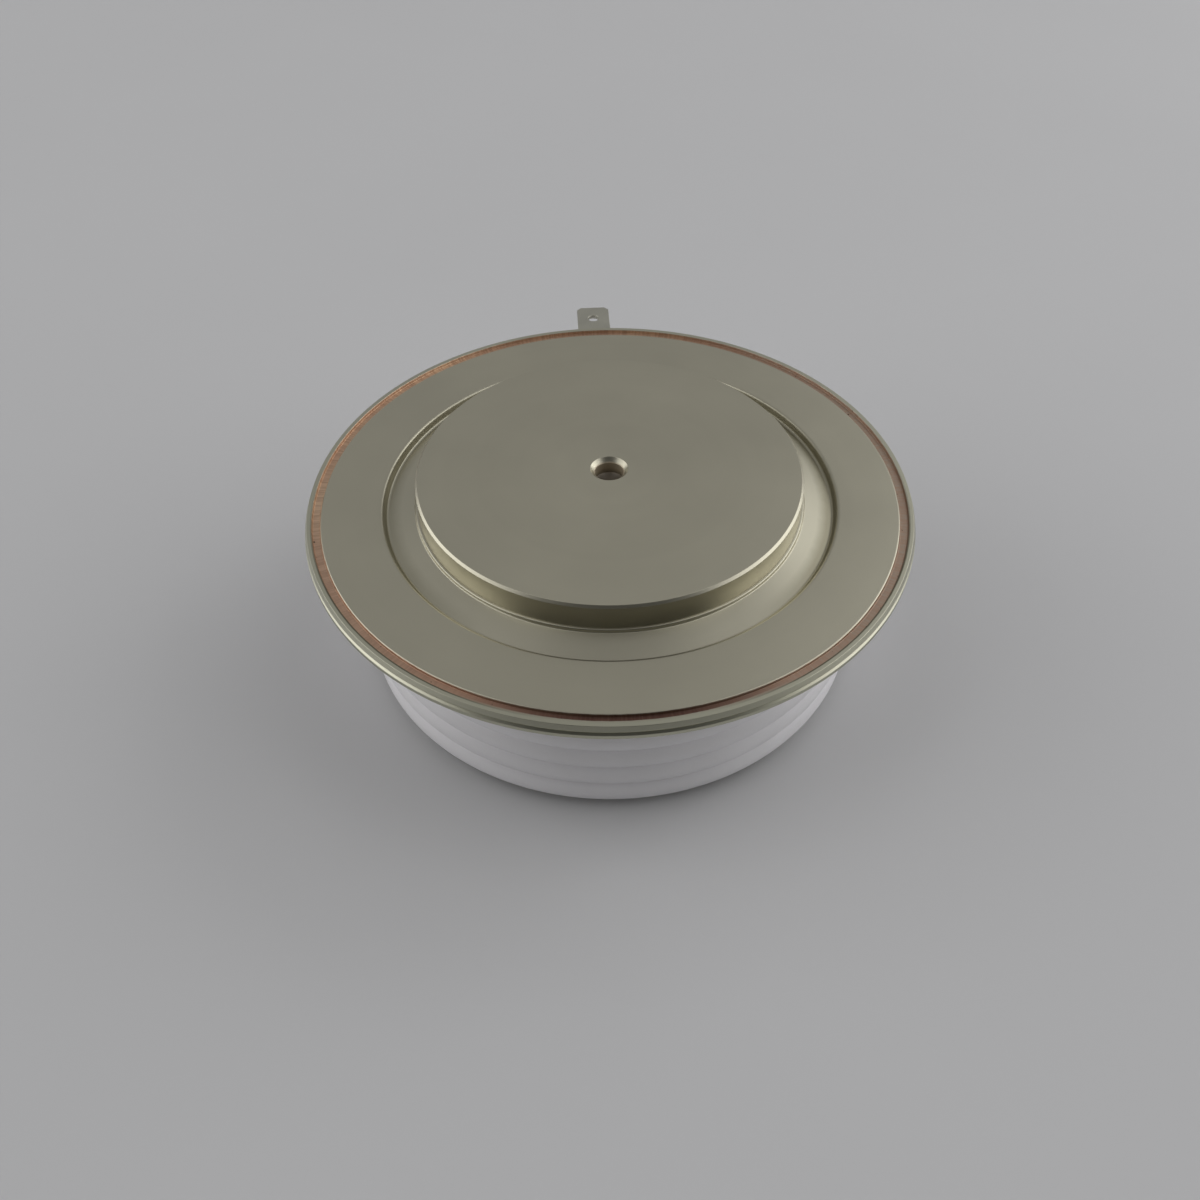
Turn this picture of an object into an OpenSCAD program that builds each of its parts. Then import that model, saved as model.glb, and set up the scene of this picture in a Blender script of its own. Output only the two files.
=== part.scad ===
// Disc thyristor: a silicon wafer pressed between two copper poles in a ribbed ceramic capsule.
// The origin is the middle of the lower (anode) contact face. +Z runs to the upper (cathode) contact
// face and +Y to the cathode's tab terminal. All sizes are in millimetres.

/* [Contact poles] */
// Height of the capsule from contact face to contact face
capsule_h = 26; // [25.5:0.5:29]
// Diameter of both contact faces' poles
contact_d = 47; // [45:0.5:48]
// Chamfer around each contact face
contact_chamfer = 0.4; // [0.2:0.1:0.6]
// Diameter of the centring hole in each contact face
centring_hole_d = 3.5; // [3:0.1:4]
// Depth of the centring holes
centring_hole_depth = 2; // [1.6:0.1:3]
// Chamfer at the mouth of the centring holes
centring_chamfer = 0.55; // [0.3:0.05:0.8]

/* [Lower pole] */
// Height of the lower pole
anode_pole_h = 9.5; // [8.5:0.5:10]
// How far the lower pole widens above its flange
pole_shoulder = 1.3; // [1:0.1:1.6]
// Step from that shoulder in to the pole's head
pole_head_step = 0.8; // [0.6:0.1:0.9]
// Height of the head, which centres the locating ring
pole_head_h = 2; // [1.5:0.1:3]

/* [Ceramic housing] */
// Height of the ceramic's lower edge above the lower contact face
foot_gap = 1.4; // [1.2:0.1:2]
// Room between the pole and the ceramic's bore
pole_room = 4.1; // [3.9:0.1:4.6]
// Wall of the ceramic from its bore to the crest of the ribs
ceramic_wall = 4.1; // [3.8:0.1:5.4]
// Number of ribs
rib_count = 6; // [4:1:8]
// Depth of the grooves between the ribs
rib_depth = 0.7; // [0.5:0.1:1]
// Plain collar above the ribs, under the weld flange
ceramic_collar_h = 1; // [0.6:0.1:2]
// Chamfer at both ends of the ceramic's bore
ceramic_edge = 0.3; // [0.2:0.1:0.5]

/* [Flanges] */
// How far the welded rim stands out over the ribs
rim_overhang = 5.55; // [4.8:0.05:7.3]
// Height of the upper contact face above the rim
rim_drop = 3.5; // [3.2:0.1:4]
// Thickness of the two copper sheets that are welded at the rim
sheet_t = 0.7; // [0.6:0.05:0.8]
// Width of the lip outside the weld groove
lip_w = 0.85; // [0.6:0.05:1.2]
// Height of the lip above the flat ring
lip_raise = 0.1; // [0.05:0.05:0.2]
// Width of the cold-weld groove
weld_groove_w = 1.3; // [1:0.1:1.6]
// Depth of the cold-weld groove
weld_groove_depth = 0.45; // [0.3:0.05:0.5]
// Depth of the sunk channel around the upper pole
channel_depth = 0.6; // [0.4:0.05:0.65]
// Width of the channel's sloping outer wall
channel_wall_w = 1.2; // [1:0.1:1.4]
// Height that the channel's floor reaches above the flat ring at the pole
channel_rise = 0.3; // [0.1:0.05:0.5]
// Width of the turned-up edge that is brazed to the pole
edge_w = 0.3; // [0.25:0.05:0.5]
// Height of that turned-up edge
edge_h = 0.3; // [0.2:0.05:0.6]
// Thickness of the lower flange
anode_flange_t = 0.5; // [0.3:0.1:0.6]
// How far the lower flange stays inside the crest of the ribs
anode_flange_inset = 1.4; // [1:0.1:2.2]
// Height of the lower flange's bead between pole and ceramic
anode_bead_h = 0.5; // [0.3:0.1:0.8]

/* [Wafer stack] */
// How far the molybdenum disc that carries the silicon reaches past the poles
wafer_overhang = 1.5; // [0.5:0.1:1.7]
// Thickness of the foil on the lower pole
anode_foil_t = 0.2; // [0.15:0.05:0.3]
// Thickness of the molybdenum disc that carries the silicon
anode_moly_t = 2; // [1.5:0.1:2.4]
// Thickness of the silicon
silicon_t = 0.6; // [0.4:0.05:0.8]
// Bevel at the silicon's edge
silicon_bevel = 0.4; // [0.2:0.1:0.5]
// Width of the rubber beside the silicon's edge
coating_w = 0.6; // [0.4:0.1:0.8]
// Height of the rubber above the silicon
coating_h = 0.7; // [0.4:0.1:0.9]
// How far the upper molybdenum disc stays inside the poles' edge
cathode_moly_inset = 1; // [0.8:0.1:2]
// Thickness of the upper molybdenum disc
cathode_moly_t = 1; // [0.8:0.1:1.2]
// Thickness of the foil under the upper pole
cathode_foil_t = 0.2; // [0.15:0.05:0.3]
// Hole for the gate in the upper disc and foil
gate_window_d = 8; // [7.6:0.1:8.4]

/* [Gate contact] */
// Bore for the gate contact in the upper pole
gate_bore_d = 9; // [8.8:0.1:10]
// Wall of the insulating cup
cup_wall = 1.4; // [1:0.1:1.6]
// Thickness of the cup's closed end
cup_end = 1.2; // [0.8:0.1:1.4]
// Diameter of the gate pin's head
pin_head_d = 4; // [3.4:0.1:4.4]
// Height of the gate pin's head
pin_head_h = 0.8; // [0.6:0.1:1]
// Diameter of the gate pin's shank
pin_shank_d = 1.8; // [1.4:0.1:2.2]
// Diameter of the collar that the spring presses on
pin_collar_d = 4.8; // [4.7:0.1:5]
// Thickness of that collar
pin_collar_t = 0.6; // [0.4:0.1:0.7]
// Wire of the gate spring
spring_wire_d = 0.35; // [0.25:0.05:0.35]
// Diameter of the gate spring at the middle of its wire
spring_d = 4; // [3.6:0.1:4.1]
// Turns of the gate spring
spring_turns = 3; // [2.5:0.5:3]
// Height of the gate spring as assembled
spring_h = 1.75; // [1.7:0.05:2.6]
// Height of the guide ring around the pin's head
guide_ring_h = 1.1; // [0.8:0.1:1.2]

/* [Gate lead] */
// Angle between the two terminals
gate_angle = 20; // [15:1:60]
// Height of the gate lead above the upper pole's lower face
gate_lead_rise = 1.85; // [1.7:0.05:2]
// Diameter of the gate lead
lead_d = 0.8; // [0.6:0.1:0.9]
// Diameter of the lead's sleeve
sleeve_d = 2; // [1.6:0.1:2.2]
// Outer diameter of the gate tube
gate_tube_d = 2.8; // [2.4:0.1:3]
// Bore of the gate tube
gate_tube_bore_d = 1.1; // [1:0.1:1.3]
// How far the gate tube stands out of the ceramic
gate_tube_out = 5.8; // [5:0.1:7]
// Height of the tube's end where it is pressed flat
gate_tube_flat = 1.6; // [1.5:0.1:1.8]
// Diameter of the seal washer around the tube
eyelet_d = 5.2; // [4.6:0.1:5.6]
// Thickness of the seal washer
eyelet_t = 0.5; // [0.3:0.1:0.6]

/* [Tab terminals] */
// Width of the tabs
tab_w = 4.75; // [4:0.05:6.3]
// Thickness of the tabs
tab_t = 0.6; // [0.4:0.1:0.8]
// How far the cathode tab's tip stands out of the rim
cathode_tab_out = 7.85; // [6.8:0.05:12]
// How far the gate tab's tip stands out of the rim
gate_tab_out = 6.75; // [6:0.05:12]
// Diameter of the hole in each tab
tab_hole_d = 1.6; // [1.2:0.1:2]
// Distance from a tab's tip to the middle of its hole
tab_hole_inset = 3; // [2.4:0.1:3.4]
// Cut corners at a tab's tip
tab_corner = 0.6; // [0.3:0.1:1]

/* [Hidden] */
$fn = 96;
// Extra depth of a cut past the face that it opens
cut = 0.1;
// Running gap between pieces that only lie next to each other
gap = 0.2;
// Gap around what is insulated from its neighbour
insulating_gap = 0.3;
// Edge radius of the sheets at the rim
rim_round = 0.15;
// How far the weld groove's sides lean
groove_lean = 0.15;
// Gap between the channel and the ceramic's bore
channel_clearance = 0.25;

contact_r = contact_d / 2;
shoulder_r = contact_r + pole_shoulder;
head_r = shoulder_r - pole_head_step;
head_z = anode_pole_h - pole_head_h;

anode_moly_z = anode_pole_h + anode_foil_t;
silicon_z = anode_moly_z + anode_moly_t;
cathode_moly_z = silicon_z + silicon_t;
cathode_foil_z = cathode_moly_z + cathode_moly_t;
cathode_pole_z = cathode_foil_z + cathode_foil_t;

wafer_r = contact_r + wafer_overhang;
silicon_r = wafer_r - coating_w;
cathode_moly_r = contact_r - cathode_moly_inset;
foil_inset = 0.5;
pole_edge = 0.5;

ceramic_bore_r = contact_r + pole_room;
ceramic_r = ceramic_bore_r + ceramic_wall;
groove_r = ceramic_r - rib_depth;

rim_r = ceramic_r + rim_overhang;
rim_top = capsule_h - rim_drop;
ring_top = rim_top - lip_raise;
weld_z = ring_top - sheet_t;
ceramic_top = weld_z - sheet_t;
lip_r = rim_r - lip_w;
ring_r = lip_r - weld_groove_w;

rib_pitch = (ceramic_top - foot_gap - ceramic_collar_h) / rib_count;
rib_arc_r = (pow(rib_pitch / 2, 2) + pow(rib_depth, 2)) / (2 * rib_depth);

channel_r = ceramic_bore_r - channel_clearance;
weld_bore_r = ceramic_bore_r + insulating_gap;
anode_flange_r = ceramic_r - anode_flange_inset;
bead_in_r = shoulder_r + gap;
bead_out_r = ceramic_bore_r - gap;
bead_side_w = 0.5;

gate_azimuth = 90 - gate_angle;
gate_z = cathode_pole_z + gate_lead_rise;
sleeve_r = sleeve_d / 2;
slot_w = sleeve_d + 2 * insulating_gap;
slot_top = gate_z + slot_w / 2;

pin_shank_r = pin_shank_d / 2;
pin_collar_z = gate_z + sleeve_r + cut;
spring_floor = pin_collar_z + pin_collar_t;
gate_bore_r = gate_bore_d / 2;
cup_r = gate_bore_r - cut;
cup_bore_r = cup_r - cup_wall;
cup_ceiling = spring_floor + spring_h;
gate_bore_top = cup_ceiling + cup_end;
spring_rings_per_turn = 18;
spring_sides = 8;
spring_rings = ceil(spring_turns * spring_rings_per_turn);
// Share of the spring at each end where the coil lies flat
spring_flat = 0.08;

gate_tube_r = gate_tube_d / 2;
seat_x = groove_r - insulating_gap;
seat_r = eyelet_d / 2 + insulating_gap;
gate_tube_start = ceramic_bore_r - 3 * gap;
gate_tube_end = seat_x + gate_tube_out + insulating_gap;
gate_tube_plug = 1;
gate_tab_overlap = 3.5;
tube_flat_l = gate_tab_overlap + insulating_gap;
cathode_tab_start = ceramic_r + 3 * insulating_gap;

nickel = "#8f8c7e";
nickel_dark = "#77766a";
ceramic_white = "#dcdad6";
copper = "#a8704f";
silver = "#c9c9c9";
molybdenum = "#7d7f86";
silicon_grey = "#5b6068";
rubber_clear = "#d9cfc0";
plastic_white = "#ededea";
steel = "#9a9a98";

// Unit vector from a to b
function toward(a, b) = (b - a) / norm(b - a);

// The arc that rounds corner b of the path a, b, c with this radius
function rounded_corner(a, b, c, radius, steps = 6) =
    let (
        u = toward(b, a),
        v = toward(b, c),
        half = acos(u * v) / 2,
        start = b + u * radius / tan(half),
        end = b + v * radius / tan(half),
        middle = b + toward([0, 0], u + v) * radius / sin(half),
        from = atan2(start.y - middle.y, start.x - middle.x),
        swing = atan2(end.y - middle.y, end.x - middle.x) - from,
        turn = swing > 180 ? swing - 360 : swing < -180 ? swing + 360 : swing
    )
    [for (i = [0 : steps]) middle + radius * [cos(from + turn * i / steps), sin(from + turn * i / steps)]];

// A closed outline from corners [r, z, rounding], where a rounding of 0 keeps the corner sharp
function outline(corners) =
    let (n = len(corners), at = [for (c = corners) [c.x, c.y]])
    [
        for (i = [0 : n - 1])
            for (p = corners[i].z > 0
                ? rounded_corner(at[(i + n - 1) % n], at[i], at[(i + 1) % n], corners[i].z)
                : [at[i]])
                p
    ];

// A turned solid from corners [r, z, rounding]
module turned(corners) {
    rotate_extrude()
        polygon(outline(corners));
}

// A flat ring between two radii, standing on z
module ring(outer_r, inner_r, z, h) {
    translate([0, 0, z])
        difference() {
            cylinder(r = outer_r, h = h);
            translate([0, 0, -cut])
                cylinder(r = inner_r, h = h + 2 * cut);
        }
}

// Turns what it holds so that +X points along the gate lead, and lifts it to the lead
module along_gate_lead() {
    rotate([0, 0, gate_azimuth])
        translate([0, 0, gate_z])
            children();
}

// A rod along +X from one distance to another
module rod(radius, from, to) {
    translate([from, 0, 0])
        rotate([0, 90, 0])
            cylinder(r = radius, h = to - from);
}

// Blind centring hole with a conical mouth, sunk from z = 0 towards -Z
module centring_hole() {
    translate([0, 0, -centring_hole_depth])
        cylinder(d = centring_hole_d, h = centring_hole_depth + cut);
    translate([0, 0, -centring_chamfer])
        cylinder(
            d1 = centring_hole_d,
            d2 = centring_hole_d + 2 * (centring_chamfer + cut),
            h = centring_chamfer + cut
        );
}

// Flat tab along +Y from one distance to its tip, its upper face at z = 0
module tab(from, reach) {
    translate([0, 0, -tab_t])
        difference() {
            linear_extrude(tab_t)
                polygon([
                    [-tab_w / 2, from],
                    [tab_w / 2, from],
                    [tab_w / 2, reach - tab_corner],
                    [tab_w / 2 - tab_corner, reach],
                    [-tab_w / 2 + tab_corner, reach],
                    [-tab_w / 2, reach - tab_corner]
                ]);
            translate([0, reach - tab_hole_inset, -cut])
                cylinder(d = tab_hole_d, h = tab_t + 2 * cut);
        }
}

// Ribbed alumina ring with a hole and a flat seat for the gate tube
module ceramic_housing() {
    color(ceramic_white)
        difference() {
            rotate_extrude()
                difference() {
                    union() {
                        translate([0, foot_gap])
                            square([groove_r, ceramic_top - foot_gap]);
                        for (i = [0 : rib_count - 1])
                            intersection() {
                                translate([ceramic_r - rib_arc_r, foot_gap + (i + 0.5) * rib_pitch])
                                    circle(r = rib_arc_r);
                                translate([groove_r - cut, foot_gap + i * rib_pitch])
                                    square([rib_depth + 2 * cut, rib_pitch]);
                            }
                    }
                    polygon([
                        [-1, foot_gap - cut],
                        [ceramic_bore_r + ceramic_edge + cut, foot_gap - cut],
                        [ceramic_bore_r, foot_gap + ceramic_edge],
                        [ceramic_bore_r, ceramic_top - ceramic_edge],
                        [ceramic_bore_r + ceramic_edge + cut, ceramic_top + cut],
                        [-1, ceramic_top + cut]
                    ]);
                }
            along_gate_lead() {
                rod(gate_tube_r, ceramic_bore_r - 1, ceramic_r + 1);
                rod(seat_r, seat_x, ceramic_r + 1);
            }
        }
}

// Flat copper ring on the ceramic, welded to the cathode flange at the rim
module weld_flange() {
    color(nickel_dark)
        turned([
            [weld_bore_r, weld_z, 0],
            [weld_bore_r, ceramic_top, 0],
            [ring_r, ceramic_top, 0],
            [ring_r + groove_lean, ceramic_top + weld_groove_depth, 0],
            [lip_r - groove_lean, ceramic_top + weld_groove_depth, 0],
            [lip_r, ceramic_top, 0],
            [rim_r, ceramic_top, rim_round],
            [rim_r, weld_z, 0]
        ]);
}

// Formed copper sheet: welded rim, flat ring, sunk channel, and an edge turned up against the pole
module cathode_flange() {
    channel_floor_r = channel_r - channel_wall_w;
    edge_r = contact_r + edge_w;
    edge_top = ring_top + channel_rise + edge_h;
    color(nickel)
        turned([
            [rim_r, weld_z, 0],
            [rim_r, rim_top, rim_round],
            [lip_r, rim_top, rim_round / 2],
            [lip_r - groove_lean, ring_top - weld_groove_depth, 0],
            [ring_r + groove_lean, ring_top - weld_groove_depth, 0],
            [ring_r, ring_top, rim_round / 2],
            [channel_r, ring_top, 0.35],
            [channel_floor_r, ring_top - channel_depth, 0.9],
            [edge_r, ring_top + channel_rise, 0],
            [edge_r, edge_top, rim_round],
            [contact_r, edge_top, 0],
            [contact_r, ring_top + channel_rise - sheet_t, 0],
            [edge_r, ring_top + channel_rise - sheet_t, 0],
            [channel_floor_r, ring_top - channel_depth - sheet_t, 0.9],
            [channel_r, weld_z, 0.35]
        ]);
}

// Upper copper pole with the gate's bore and lead slot in its lower face
module cathode_pole_piece() {
    color(nickel)
        difference() {
            turned([
                [0, cathode_pole_z, 0],
                [contact_r - pole_edge, cathode_pole_z, 0],
                [contact_r, cathode_pole_z + pole_edge, 0],
                [contact_r, capsule_h - contact_chamfer, 0],
                [contact_r - contact_chamfer, capsule_h, 0],
                [0, capsule_h, 0]
            ]);
            translate([0, 0, capsule_h])
                centring_hole();
            translate([0, 0, cathode_pole_z - cut])
                cylinder(r = gate_bore_r, h = gate_bore_top - cathode_pole_z + cut);
            rotate([0, 0, gate_azimuth])
                translate([0, -slot_w / 2, cathode_pole_z - cut])
                    cube([contact_r + 1, slot_w, slot_top - cathode_pole_z + cut]);
        }
}

// Lower copper pole: contact face, shoulder over the flange, and the head under the wafer
module anode_pole_piece() {
    color(nickel)
        difference() {
            turned([
                [0, 0, 0],
                [contact_r - contact_chamfer, 0, 0],
                [contact_r, contact_chamfer, 0],
                [contact_r, foot_gap, 0],
                [shoulder_r, foot_gap, 0],
                [shoulder_r, head_z, 0],
                [head_r, head_z, 0],
                [head_r, anode_pole_h, 0],
                [0, anode_pole_h, 0]
            ]);
            rotate([180, 0, 0])
                centring_hole();
        }
}

// Thin ring under the ceramic, with a bead that lets the pole settle
module anode_flange() {
    bead_top = foot_gap + anode_bead_h;
    low = foot_gap - anode_flange_t;
    color(nickel_dark)
        turned([
            [contact_r, low, 0],
            [bead_in_r, low, 0],
            [bead_in_r + bead_side_w, bead_top - anode_flange_t, 0],
            [bead_out_r - bead_side_w, bead_top - anode_flange_t, 0],
            [bead_out_r, low, 0],
            [anode_flange_r, low, 0],
            [anode_flange_r, foot_gap, 0],
            [bead_out_r, foot_gap, 0],
            [bead_out_r - bead_side_w, bead_top, 0],
            [bead_in_r + bead_side_w, bead_top, 0],
            [bead_in_r, foot_gap, 0],
            [contact_r, foot_gap, 0]
        ]);
}

// Silver foil between the lower pole and the molybdenum
module anode_foil() {
    color(silver)
        translate([0, 0, anode_pole_h])
            cylinder(r = min(head_r, wafer_r) - foil_inset, h = anode_foil_t);
}

// Molybdenum disc that carries the silicon
module anode_molybdenum_disc() {
    color(molybdenum)
        translate([0, 0, anode_moly_z])
            cylinder(r = wafer_r, h = anode_moly_t);
}

// Silicon disc with a bevelled edge
module silicon_wafer() {
    color(silicon_grey)
        translate([0, 0, silicon_z])
            cylinder(r1 = silicon_r, r2 = silicon_r - silicon_bevel, h = silicon_t);
}

// Silicone rubber over the silicon's bevelled edge
module junction_coating() {
    inner_r = cathode_moly_r + insulating_gap;
    color(rubber_clear)
        turned([
            [wafer_r, silicon_z, 0],
            [wafer_r, cathode_moly_z + coating_h, coating_h / 3],
            [inner_r, cathode_moly_z + coating_h, coating_h / 3],
            [inner_r, cathode_moly_z, 0],
            [silicon_r - silicon_bevel, cathode_moly_z, 0],
            [silicon_r, silicon_z, 0]
        ]);
}

// Molybdenum disc on the silicon, with a window for the gate
module cathode_molybdenum_disc() {
    color(molybdenum)
        ring(cathode_moly_r, gate_window_d / 2, cathode_moly_z, cathode_moly_t);
}

// Silver foil under the upper pole
module cathode_foil() {
    color(silver)
        ring(cathode_moly_r - foil_inset, gate_window_d / 2, cathode_foil_z, cathode_foil_t);
}

// Plastic ring on the lower pole's head that centres the wafer in the ceramic
module locating_ring() {
    outer_r = ceramic_bore_r - insulating_gap;
    top = cathode_moly_z + coating_h;
    color(plastic_white)
        turned([
            [head_r, head_z, 0],
            [outer_r, head_z, 0],
            [outer_r, top, 0],
            [wafer_r + gap, top, 0],
            [wafer_r + gap, anode_pole_h, 0],
            [head_r, anode_pole_h, 0]
        ]);
}

// Pin on the middle of the silicon, with a collar for the spring
module gate_contact_pin() {
    stub_top = spring_floor + spring_h / 2;
    color(silver)
        turned([
            [0, cathode_moly_z, 0],
            [pin_head_d / 2, cathode_moly_z, 0],
            [pin_head_d / 2, cathode_moly_z + pin_head_h, 0],
            [pin_shank_r, cathode_moly_z + pin_head_h, 0],
            [pin_shank_r, pin_collar_z, 0],
            [pin_collar_d / 2, pin_collar_z, 0],
            [pin_collar_d / 2, spring_floor, 0],
            [pin_shank_r, spring_floor, 0],
            [pin_shank_r, stub_top, 0],
            [0, stub_top, 0]
        ]);
}

// Plastic ring in the gate window that keeps the pin in the middle
module gate_guide_ring() {
    color(plastic_white)
        ring(gate_window_d / 2 - cut, pin_head_d / 2 + cut, cathode_moly_z, guide_ring_h);
}

// One point on the spring's wire: the share s runs from 0 to 1, the angle b around the wire
function spring_point(s, b) =
    let (
        wire_r = spring_wire_d / 2,
        low = spring_floor + wire_r,
        high = cup_ceiling - wire_r,
        climb = min(1, max(0, (s - spring_flat) / (1 - 2 * spring_flat))),
        a = 360 * spring_turns * s,
        r = spring_d / 2 + wire_r * cos(b)
    )
    [r * cos(a), r * sin(a), low + (high - low) * climb + wire_r * sin(b)];

// Spring between the pin's collar and the cup's end
module gate_spring() {
    last = spring_rings * spring_sides;
    sides = [
        for (i = [0 : spring_rings - 1])
            for (j = [0 : spring_sides - 1])
                let (a = i * spring_sides, k = (j + 1) % spring_sides)
                    [a + j, a + k, a + spring_sides + k, a + spring_sides + j]
    ];
    color(steel)
        polyhedron(
            points = [
                for (i = [0 : spring_rings])
                    for (j = [0 : spring_sides - 1])
                        spring_point(i / spring_rings, 360 * (j + 0.5) / spring_sides)
            ],
            faces = concat(
                sides,
                [[for (j = [spring_sides - 1 : -1 : 0]) j]],
                [[for (j = [0 : spring_sides - 1]) last + j]]
            )
        );
}

// Cup that insulates pin and spring from the pole, notched for the lead
module gate_insulator() {
    foot = cathode_pole_z + cut;
    notch_w = sleeve_d + 2 * cut;
    color(plastic_white)
        difference() {
            translate([0, 0, foot])
                cylinder(r = cup_r, h = gate_bore_top - foot);
            translate([0, 0, foot - cut])
                cylinder(r = cup_bore_r, h = cup_ceiling - foot + cut);
            rotate([0, 0, gate_azimuth])
                translate([0, -notch_w / 2, foot - cut])
                    cube([cup_r + 1, notch_w, gate_z + notch_w / 2 - foot + cut]);
        }
}

// Silver wire from the pin's shank to the closed end of the gate tube
module gate_lead() {
    color(silver)
        difference() {
            along_gate_lead()
                rod(lead_d / 2, 0, gate_tube_end - gate_tube_plug);
            translate([0, 0, cathode_moly_z])
                cylinder(r = pin_shank_r, h = pin_collar_z - cathode_moly_z);
        }
}

// Plastic tube around the lead, from inside the cup to the gate tube
module gate_lead_sleeve() {
    color(plastic_white)
        along_gate_lead()
            difference() {
                rod(sleeve_r, cup_bore_r, gate_tube_start - gap);
                rod(lead_d / 2, cup_bore_r - 1, gate_tube_start + 1);
            }
}

// Nickel tube brazed through the ceramic, closed and pressed flat at its outer end
module gate_tube() {
    color(nickel)
        along_gate_lead()
            difference() {
                rod(gate_tube_r, gate_tube_start, gate_tube_end);
                rod(gate_tube_bore_d / 2, gate_tube_start - 1, gate_tube_end - gate_tube_plug);
                for (low = [gate_tube_flat / 2, -gate_tube_r - 1])
                    translate([gate_tube_end - tube_flat_l, -gate_tube_r - 1, low])
                        cube([tube_flat_l + 1, gate_tube_d + 2, gate_tube_r + 1 - gate_tube_flat / 2]);
            }
}

// Seal washer around the tube on the ceramic's flat seat
module gate_eyelet() {
    color(nickel_dark)
        along_gate_lead()
            difference() {
                rod(eyelet_d / 2, seat_x, seat_x + eyelet_t);
                rod(gate_tube_r, seat_x - 1, seat_x + eyelet_t + 1);
            }
}

// Tab welded on the flattened end of the gate tube
module gate_terminal_tab() {
    color(nickel)
        rotate([0, 0, -gate_angle])
            translate([0, 0, gate_z + gate_tube_flat / 2 + tab_t])
                tab(gate_tube_end - gate_tab_overlap, rim_r + gate_tab_out);
}

// Tab brazed under the weld flange
module cathode_terminal_tab() {
    color(nickel)
        translate([0, 0, ceramic_top])
            tab(cathode_tab_start, rim_r + cathode_tab_out);
}

ceramic_housing();
weld_flange();
cathode_flange();
cathode_pole_piece();
anode_pole_piece();
anode_flange();
anode_foil();
anode_molybdenum_disc();
silicon_wafer();
junction_coating();
cathode_molybdenum_disc();
cathode_foil();
locating_ring();
gate_contact_pin();
gate_guide_ring();
gate_spring();
gate_insulator();
gate_lead();
gate_lead_sleeve();
gate_tube();
gate_eyelet();
gate_terminal_tab();
cathode_terminal_tab();
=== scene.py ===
# %% [markdown]
# # Disc thyristor in Blender
#
# A disc thyristor is a flat capsule. Inside it a silicon wafer is pressed between two copper poles, and
# heat sinks are clamped on both flat faces. From outside you see turned, nickel-plated copper, thin
# welded flanges, a ribbed ceramic ring and two small tabs.
#
# Most of these pieces are made on a lathe, so most meshes here are an outline turned around the axis.
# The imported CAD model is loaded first. It gives every size and place, and nothing here moves it.

# %% Load the frame
import math

import bmesh
import bpy
from mathutils import Matrix, Vector


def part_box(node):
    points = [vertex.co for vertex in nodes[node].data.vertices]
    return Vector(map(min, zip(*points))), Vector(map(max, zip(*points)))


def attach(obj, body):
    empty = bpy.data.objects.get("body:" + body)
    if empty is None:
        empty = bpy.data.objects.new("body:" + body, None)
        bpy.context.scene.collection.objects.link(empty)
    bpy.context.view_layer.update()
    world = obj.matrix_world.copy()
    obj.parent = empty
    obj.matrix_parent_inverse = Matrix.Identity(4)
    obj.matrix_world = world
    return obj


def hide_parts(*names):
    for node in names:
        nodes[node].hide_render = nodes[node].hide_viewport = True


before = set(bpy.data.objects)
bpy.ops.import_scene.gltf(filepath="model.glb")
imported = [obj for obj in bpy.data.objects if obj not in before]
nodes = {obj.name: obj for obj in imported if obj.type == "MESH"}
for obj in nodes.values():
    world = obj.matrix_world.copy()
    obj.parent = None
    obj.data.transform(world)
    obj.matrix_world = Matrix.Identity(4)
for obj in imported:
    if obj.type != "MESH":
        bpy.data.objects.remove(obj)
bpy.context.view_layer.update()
print("CAD nodes:", len(nodes))

# %% [markdown]
# ## Sizes come from the CAD nodes
#
# All sizes below are in millimetres, as on a drawing, and become metres in the mesh. The helper reads the
# outer radius and both levels of a CAD node, so a piece made here lands exactly where that node is.

# %% Read a node's size
MM = 0.001


def cad_size(node):
    """Outer radius, lowest and highest level of a CAD node around the capsule's axis, in millimetres."""
    low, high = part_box(node)
    radius = max(high.x, high.y, -low.x, -low.y) / MM
    return round(radius, 2), round(low.z / MM, 2), round(high.z / MM, 2)


for name in ("cathode_pole_piece", "cathode_flange", "ceramic_housing", "anode_pole_piece"):
    print(name, cad_size(name))

# %% [markdown]
# Some sizes lie inside a node, where its box can't show them. Those that several pieces share are written
# once here. The gate is the third terminal: its wire leaves the pole through a slot and the ceramic through
# a tube, all at one angle and one level.

# %% Sizes that pieces share
HOLE_R, HOLE_DEPTH, HOLE_CHAMFER = 1.75, 2.0, 0.55
POLE_CHAMFER = 0.28
GATE_ANGLE = math.radians(70)
GATE_LEVEL = 15.35
SLOT_HALF = 1.3
TUBE_R, TUBE_BORE_R, TUBE_FLAT = 1.4, 0.55, 0.8
SEAT_R, SEAT_REACH = 2.9, 30.7

# %% [markdown]
# ## Camera
#
# The camera stands about 16 cm away and looks down at about 45 degrees, a little from the left, and is
# rolled slightly. Its lens and place were worked out from the circles of the capsule: a circle seen from
# nearby becomes an ellipse that is fuller in front, and how much fuller tells the distance.

# %% Place the camera
scene = bpy.context.scene


def new_object(name, data):
    """An object for a mesh, a lamp or a camera, linked into the scene."""
    item = bpy.data.objects.new(name, data)
    scene.collection.objects.link(item)
    return item


camera_at = Vector((-5.77, -107.41, 112.51)) * MM
camera_aim = Vector((-1.22, 3.23, 0.0)) * MM
camera_roll = math.radians(-0.84)

camera_data = bpy.data.cameras.new("camera")
camera_data.sensor_width = 36
camera_data.lens = 33.91
camera_data.clip_start = 0.005
camera = new_object("camera", camera_data)
look = (camera_aim - camera_at).to_track_quat("-Z", "Y").to_matrix().to_4x4()
camera.matrix_world = Matrix.Translation(camera_at) @ look @ Matrix.Rotation(camera_roll, 4, "Z")
scene.camera = camera
print("camera distance:", round((camera_at - camera_aim).length / MM, 1), "mm")

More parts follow.
